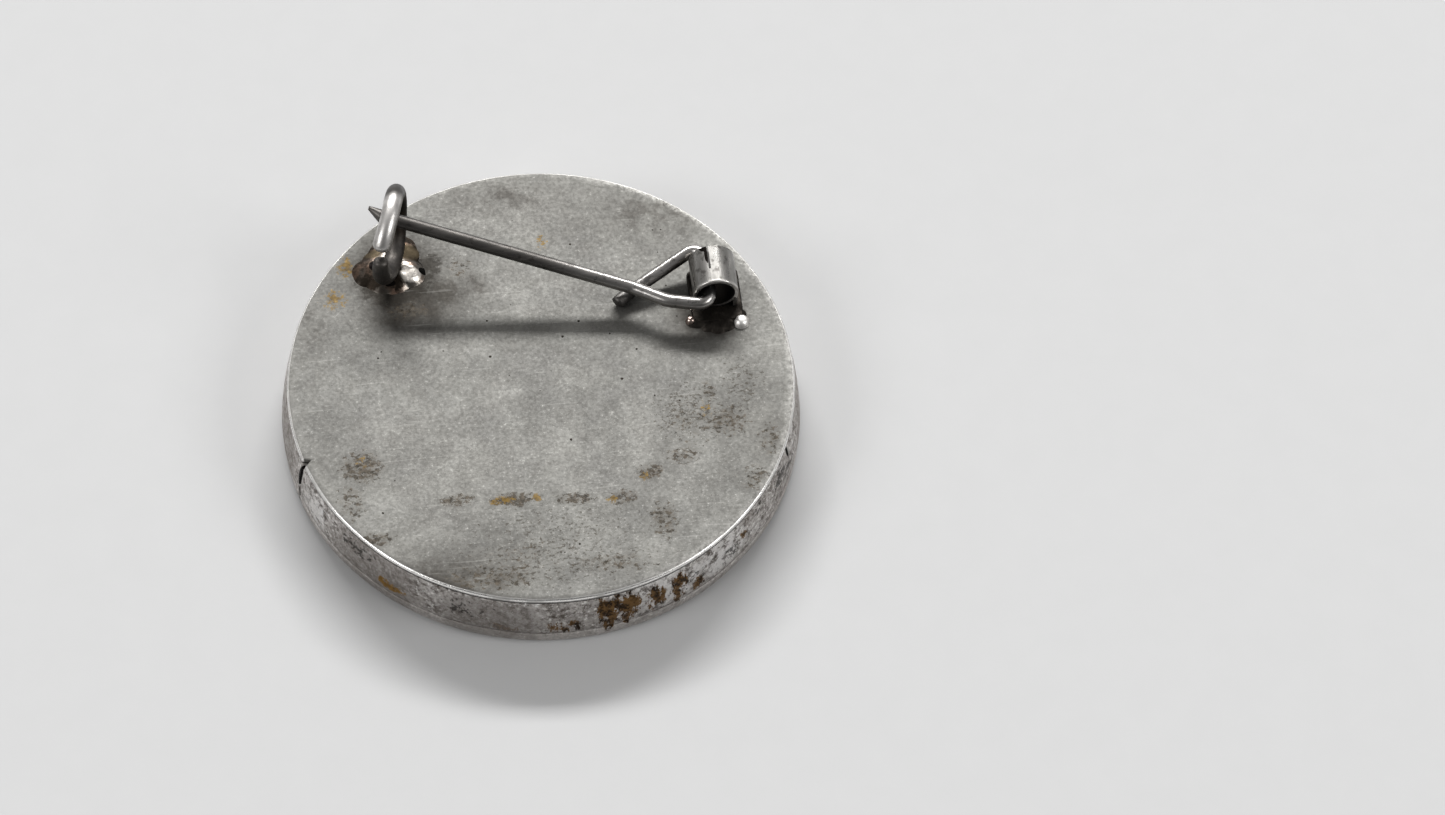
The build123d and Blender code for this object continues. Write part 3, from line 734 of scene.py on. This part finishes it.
def back_plate_sheet(material):
    """The back plate: a rolled sheet with slight waves, a burnished edge (partly a painted highlight) and the
    V nick.
    """
    turns = sorted(set(
        [i * 0.5 for i in range(720)]
        + [SEAM_ANGLE + i * 0.1 for i in range(-14, 15)]
    ))
    rings = 64
    low = BACK_Z - PLATE_T
    points = [(0, 0, BACK_Z)]
    below = [
        (EDGE_ROLL, 0.0), (0.08, -0.02), (0.035, -0.06), (0.01, -0.12),
        (0.0, -0.2), (0.0, -PLATE_T + 0.06), (0.06, -PLATE_T), (1.2, -PLATE_T),
    ]
    count = len(turns)

    def outline(angle):
        off = abs((angle - SEAM_ANGLE + 180) % 360 - 180) * math.pi / 180 * BACK_R
        nick = max(0.0, 1 - off / (NICK_W / 2)) * NICK_DEEP
        a = math.radians(angle)
        rag = 0.02 * wobble(math.cos(a) * 16, math.sin(a) * 16, 0, 2.2, 5.0)
        return BACK_R - 0.02 - nick + rag

    for i in range(1, rings):
        for angle in turns:
            a = math.radians(angle)
            r = (outline(angle) - EDGE_ROLL) * i / rings
            x, y = r * math.cos(a), r * math.sin(a)
            edge = min(1.0, (1 - i / rings) * 10)
            wave = (0.018 * wobble(x, y, 0, 6.0, 2.0) + 0.005 * wobble(x, y, 0, 1.3, 9.0)) * edge
            points.append((x, y, BACK_Z + wave))
    for inset, drop in below:
        for angle in turns:
            a = math.radians(angle)
            r = outline(angle) - inset
            points.append((r * math.cos(a), r * math.sin(a), BACK_Z + drop))
    rows = rings - 1 + len(below)
    faces = [(0, 1 + j, 1 + (j + 1) % count) for j in range(count)]
    faces += [tuple(1 + k for k in reversed(f)) for f in strips(rows, count)]
    last = len(points)
    points.append((0, 0, low))
    start = 1 + (rows - 1) * count
    faces += [(last, start + (j + 1) % count, start + j) for j in range(count)]
    piece = mesh_piece("back_plate_sheet", points, faces, material, "badge")
    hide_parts("back_plate")
    return piece


def rim_band_strip(material):
    """The wall: a strip rolled to a ring, its ends apart at the seam, dented and cracked by use."""
    top = BACK_Z - PLATE_T
    outside = [
        (LIP_R, LIP_T), (LIP_R, 0.2), (LIP_R + 0.06, 0.06), (LIP_R + 0.2, 0.0),
        (FRONT_R - 0.9, 0.0), (FRONT_R - 0.55, 0.0), (FRONT_R - 0.36, 0.05), (FRONT_R - 0.2, 0.14),
        (FRONT_R - 0.09, 0.28), (FRONT_R - 0.03, 0.45), (FRONT_R - 0.01, 0.65), (FRONT_R, 0.85),
        (FRONT_R, BEAD_Z - 0.14), (FRONT_R - 0.05, BEAD_Z - 0.05), (FRONT_R - 0.09, BEAD_Z),
        (FRONT_R - 0.06, BEAD_Z + 0.1),
    ]
    steps = 16
    for i in range(1, steps):
        z = BEAD_Z + 0.1 + (top - 0.07 - BEAD_Z - 0.1) * i / steps
        bulge = (FRONT_R - 0.06 - BACK_R) * (1 - (i / steps) ** 1.7)
        outside.append((BACK_R + bulge, z))
    outside += [(BACK_R, top - 0.07), (BACK_R - 0.015, top - 0.02), (BACK_R - 0.05, top)]
    outside += [(BACK_R - BAND_T, top), (BACK_R - BAND_T, top / 2), (BACK_R - BAND_T, LIP_T)]
    half = math.degrees(SEAM_GAP / 2 / BACK_R)
    start, end = SEAM_ANGLE + half, SEAM_ANGLE + 360 - half
    turns = list(np.linspace(start, end, 721))
    crack = CRACK_ANGLE + 360
    turns = sorted(set(turns + [crack + 0.06 * i for i in range(-8, 9)]))
    points = []
    for angle in turns:
        a = math.radians(angle)
        for r, z in outside:
            x, y = r * math.cos(a), r * math.sin(a)
            if r > BACK_R - BAND_T + 0.01 and 0.1 < z < top - 0.03:
                dent = 0.035 * wobble(x, y, z * 1.5, 3.2, 1.0) + 0.014 * wobble(x, y, z, 0.9, 4.0)
                r += dent * min(1.0, z / 0.6, (top - z) / 0.4)
                off = math.radians(abs(angle - crack)) * r
                if z > top - CRACK_L:
                    r -= CRACK_DEEP * max(0.0, 1 - off / CRACK_HALF) * min(1.0, (z - top + CRACK_L) / 0.2)
            points.append((r * math.cos(a), r * math.sin(a), z))
    count = len(outside)
    faces = [tuple(reversed(f)) for f in strips(len(turns), count)]
    first = list(range(count))
    last = [(len(turns) - 1) * count + i for i in range(count)]
    faces += [tuple(first), tuple(reversed(last))]
    piece = mesh_piece("rim_band_strip", points, faces, material, "badge")
    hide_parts("rim_band")
    return piece


def tube_skin(name, path, material, body, thick, side, steps):
    """Round wire along a path in millimetres; thick gives the radius at each share of its length,
    and side shifts the section so that one flank stays straight where the wire thins."""
    path = [Vector(p) for p in path]
    run = [0.0]
    for a, b in zip(path, path[1:]):
        run.append(run[-1] + (b - a).length)
    full = max(thick(length, run[-1]) for length in run)
    points = []
    across = Vector((0, 0, 1))
    for i, here in enumerate(path):
        ahead = (path[min(i + 1, len(path) - 1)] - path[max(i - 1, 0)]).normalized()
        across = (across - ahead * across.dot(ahead)).normalized()
        beside = ahead.cross(across)
        r = thick(run[i], run[-1])
        centre = here if side is None else here + (side - ahead * side.dot(ahead)) * max(0.0, full - r)
        for j in range(steps):
            a = 2 * math.pi * j / steps
            points.append(centre + (across * math.cos(a) + beside * math.sin(a)) * r)
    faces = strips(len(path), steps)
    faces += [tuple(reversed(range(steps)))]
    faces += [tuple((len(path) - 1) * steps + j for j in range(steps))]
    return mesh_piece(name, points, faces, material, body)


def bent_path(corners, radii):
    """Corners joined by straight runs, each inner corner rounded to its radius."""
    corners = [Vector(c) for c in corners]
    stops = [corners[0]]
    for before, here, after, radius in zip(corners, corners[1:], corners[2:], radii):
        inward, onward = (before - here).normalized(), (after - here).normalized()
        half = inward.angle(onward) / 2
        reach = radius / math.tan(half)
        centre = here + (inward + onward).normalized() * (radius / math.sin(half))
        start, end = here + inward * reach - centre, here + onward * reach - centre
        count = max(4, int(start.angle(end) * radius / BEND_STEP))
        for i in range(count + 1):
            stops.append(centre + start.normalized().slerp(end.normalized(), i / count) * radius)
    stops.append(corners[-1])
    path = [stops[0]]
    for stop in stops[1:]:
        length = (stop - path[-1]).length
        if length < 1e-4:
            continue
        start = path[-1]
        count = max(1, int(length / RUN_STEP))
        path += [start.lerp(stop, (i + 1) / count) for i in range(count)]
    return path


def pin_wire_piece(material):
    """The pin: one wire from its cut tail, through the hinge and along the stem to a skewed point."""
    def thick(length, whole):
        left = whole - length
        cut = min(1.0, 0.75 + length / 0.3)
        return WIRE_R * cut * min(1.0, TIP_SHARE + (1 - TIP_SHARE) * left / POINT_L)

    apex = Vector(APEX)
    tip = apex + (Vector(AT_RING) - apex).normalized() * STEM_L
    corners = [TAIL_END, TAIL_BEND, FAR_CORNER, NEAR_CORNER, LEG_BEND, APEX, tip]
    path = bent_path(corners, BENDS)
    piece = tube_skin("pin_wire_bent", path, material, "pin", thick, Vector((0.25, 0.9, 0.35)), 24)
    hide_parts("pin_wire")
    return piece


def catch_wire_piece(material):
    """The catch: a thick wire bent to a C, its free end rounded and its back worn."""
    low, high = (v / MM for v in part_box("catch_ring"))
    middle = Vector(((low.x + high.x) / 2, (low.y + high.y) / 2, high.z - RING_R - RING_WIRE_R))
    level = Vector((math.cos(RING_TURN), math.sin(RING_TURN), 0))

    def thick(length, whole):
        end = min(length / 0.25, (whole - length) / 0.42)
        worn = 1 - 0.025 * (1 + math.sin(length * 1.9)) * 0.5
        stub = min(1.0, 0.8 + 0.2 * length / 1.6)
        return RING_WIRE_R * worn * stub * math.sqrt(max(0.03, 1 - max(0.0, 1 - end) ** 2))

    path = []
    first, last = math.radians(RING_GAP[1]), math.radians(RING_GAP[0] + 360)
    for i in range(RING_STEPS + 1):
        a = first + (last - first) * i / RING_STEPS
        half_turns = a / math.pi
        lean = RING_LEAN[1 if half_turns < 1 else 2 if half_turns < 2 else 0] * math.sin(a) ** 2
        at = middle + (Vector((0, 0, 1)) * math.cos(a) - level * math.sin(a)) * RING_R
        path.append(at + Vector((RING_SHIFT - lean, 0, 0)))
    piece = tube_skin("catch_wire", path, material, "badge", thick, None, 28)
    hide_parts("catch_ring")
    return piece


def solder_run(name, bumps, centre, material, seed, rough):
    """Solder that has flowed and set: rounded lobes that meet the plate at a steep edge."""
    cx, cy = centre

    def height(x, y):
        total = 0.0
        for bx, by, br, bh in bumps:
            d = ((x - bx) ** 2 + (y - by) ** 2) / br ** 2
            if d < 1:
                total += (bh * (1 - d) ** 0.5) ** 4
        return total ** 0.25

    turns, rings = 144, 26
    points = [(cx, cy, BACK_Z + height(cx, cy))]
    reaches = []
    for j in range(turns):
        a = 2 * math.pi * j / turns
        reach = 0.05
        while reach < 6 and height(cx + reach * math.cos(a), cy + reach * math.sin(a)) > 0:
            reach += 0.01
        reaches.append(reach * (1 + 1.6 * rough * wobble(math.cos(a) * 2, math.sin(a) * 2, 0, 0.7, seed)))
    for i in range(1, rings + 1):
        share = math.sin(math.pi / 2 * i / rings)
        for j, reach in enumerate(reaches):
            a = 2 * math.pi * j / turns
            x, y = cx + share * reach * math.cos(a), cy + share * reach * math.sin(a)
            z = height(x, y) + rough * (wobble(x, y, 0, 0.6, seed) + 0.5 * wobble(x, y, 0, 0.25, seed))
            fade = 1 - share ** 6
            points.append((x, y, BACK_Z - 0.03 + max(z + 0.03, 0.0) * fade))
    faces = [(0, 1 + j, 1 + (j + 1) % turns) for j in range(turns)]
    faces += [tuple(1 + k for k in reversed(f)) for f in strips(rings, turns)]
    base = 1 + (rings - 1) * turns
    faces.append(tuple(base + j for j in reversed(range(turns))))
    return mesh_piece(name, points, faces, material, "badge")


# ---- studio -----------------------------------------------------------------


def make_studio():
    """Plain pale floor and soft light: a low wide softbox behind, weaker ones left and right, a dim front."""
    scene = bpy.context.scene
    scene.view_settings.view_transform = "Standard"
    world = bpy.data.worlds.new("studio")
    world.use_nodes = True
    tree = world.node_tree
    tree.nodes.clear()
    way = add(tree, "ShaderNodeTexCoord").outputs["Generated"]
    slope = add(tree, "ShaderNodeVectorMath", {"operation": "DOT_PRODUCT"}, {0: way, 1: (0.0, 0.75, 0.40)})
    glow = spread(tree, slope.outputs["Value"], -0.35, 0.85, WORLD_DIM, WORLD_BRIGHT)
    back = add(tree, "ShaderNodeBackground", None, {"Color": linear("#ffffff"), "Strength": glow})
    add(tree, "ShaderNodeOutputWorld", None, {"Surface": back.outputs[0]})
    scene.world = world
    for name, azimuth, elevation, away, wide, deep, power in SOFTBOXES:
        light = bpy.data.lights.new(name, "AREA")
        light.shape = "RECTANGLE"
        light.size = wide
        light.size_y = deep
        light.energy = power
        lamp = bpy.data.objects.new(name, light)
        a, e = math.radians(azimuth), math.radians(elevation)
        way_in = Vector((math.sin(a) * math.cos(e), -math.cos(a) * math.cos(e), math.sin(e)))
        lamp.location = way_in * away
        lamp.rotation_mode = "QUATERNION"
        lamp.rotation_quaternion = way_in.to_track_quat("Z", "Y")
        scene.collection.objects.link(lamp)

    material, tree, shader, mm = new_material("pale_floor")
    # matt laminated board with a faint tooth
    tooth = cloth(tree, mm, 0.4, 4.0)
    tree.links.new(blend(tree, tooth, linear("#b2b2b2"), linear("#b3b3b3")), shader.inputs["Base Color"])
    shader.inputs["Roughness"].default_value = 0.95
    shader.inputs["Specular IOR Level"].default_value = 0.1
    mesh = bpy.data.meshes.new("floor")
    half = 4.0
    mesh.from_pydata(
        [(-half, -half, 0), (half, -half, 0), (half, half, 0), (-half, half, 0)], [], [(0, 1, 2, 3)]
    )
    mesh.materials.append(material)
    floor = bpy.data.objects.new("floor", mesh)
    scene.collection.objects.link(floor)


make_camera()
make_studio()

sheet_finish = nickel_sheet()
wall_finish = nickel_wall()
wire_finish = steel_wire()
catch_finish = catch_wire()
tube_finish = hinge_sheet()
# the same sheet where dirt and flux have dulled it, darkened near black as painted shade under the tube
foot_dirt_and_shade_finish = mottled_metal("hinge_sheet_dirt_and_shade", "#171513", "#3a3632", (0.4, 0.65), 0.03)
solder_finish = soft_solder()
# a drop of tin painted near white as its highlight, and one tinted by copper
bead_highlight_finish = mottled_metal("tin_bead_painted_highlight", "#dedad5", "#f6f4f1", (0.40, 0.48), 0.01)
drop_finish = mottled_metal("copper_tinted_bead", "#8a7b73", "#cdbab0", (0.24, 0.34), 0.01)
# solder left grey and dull in the joints
dull_solder = mottled_metal("dull_soft_solder", "#55524e", "#8d8a86", (0.35, 0.55), 0.03)
finishes = {
    "seam_solder": dull_solder,
    "plate_solder": dull_solder,
    "face_cover": celluloid(),
    "face_print": printed_paper(),
    "backing_card": paper("greyboard", "#6b5d49", "#9c8d74", 2.5, 0.03),
    "packing_disc": paper("soft_pasteboard", "#8c8065", "#b8ab8d", 1.6, 0.06),
    "hinge_tube": tube_finish,
    "hinge_foot": foot_dirt_and_shade_finish,
}
for name, finish in finishes.items():
    mesh = nodes[name].data
    mesh.materials.clear()
    mesh.materials.append(finish)

back_plate_sheet(sheet_finish)
rim_band_strip(wall_finish)
pin_wire_piece(wire_finish)
catch_wire_piece(catch_finish)

pool = solder_run("catch_solder_pool", [
    (-8.9, 9.2, 1.95, 0.52), (-7.7, 8.85, 1.15, 0.56), (-10.2, 9.1, 1.10, 0.42),
    (-8.5, 10.3, 1.70, 0.42), (-9.4, 8.4, 1.0, 0.46), (-8.5, 8.3, 0.9, 0.40),
], (-8.9, 9.3), solder_finish, 3.0, 0.05)
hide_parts("catch_solder")
# dark solder under the tube, painted as shade with the foot's finish
scab = solder_run("hinge_solder_scab", [
    (11.0, 3.25, 0.8, 0.25), (12.0, 3.2, 0.8, 0.28), (10.2, 3.5, 0.7, 0.25), (12.9, 3.6, 0.6, 0.3),
    (11.5, 2.95, 0.7, 0.2),
], (11.5, 3.3), foot_dirt_and_shade_finish, 6.0, 0.06)
bead = solder_run("hinge_solder_bead_right", [(13.05, 3.1, 0.56, 0.40)], (13.05, 3.1), bead_highlight_finish, 6.0, 0.02)
drop = solder_run("hinge_solder_bead_left", [(9.85, 3.45, 0.36, 0.36)], (9.85, 3.45), drop_finish, 8.0, 0.02)
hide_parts("hinge_solder")
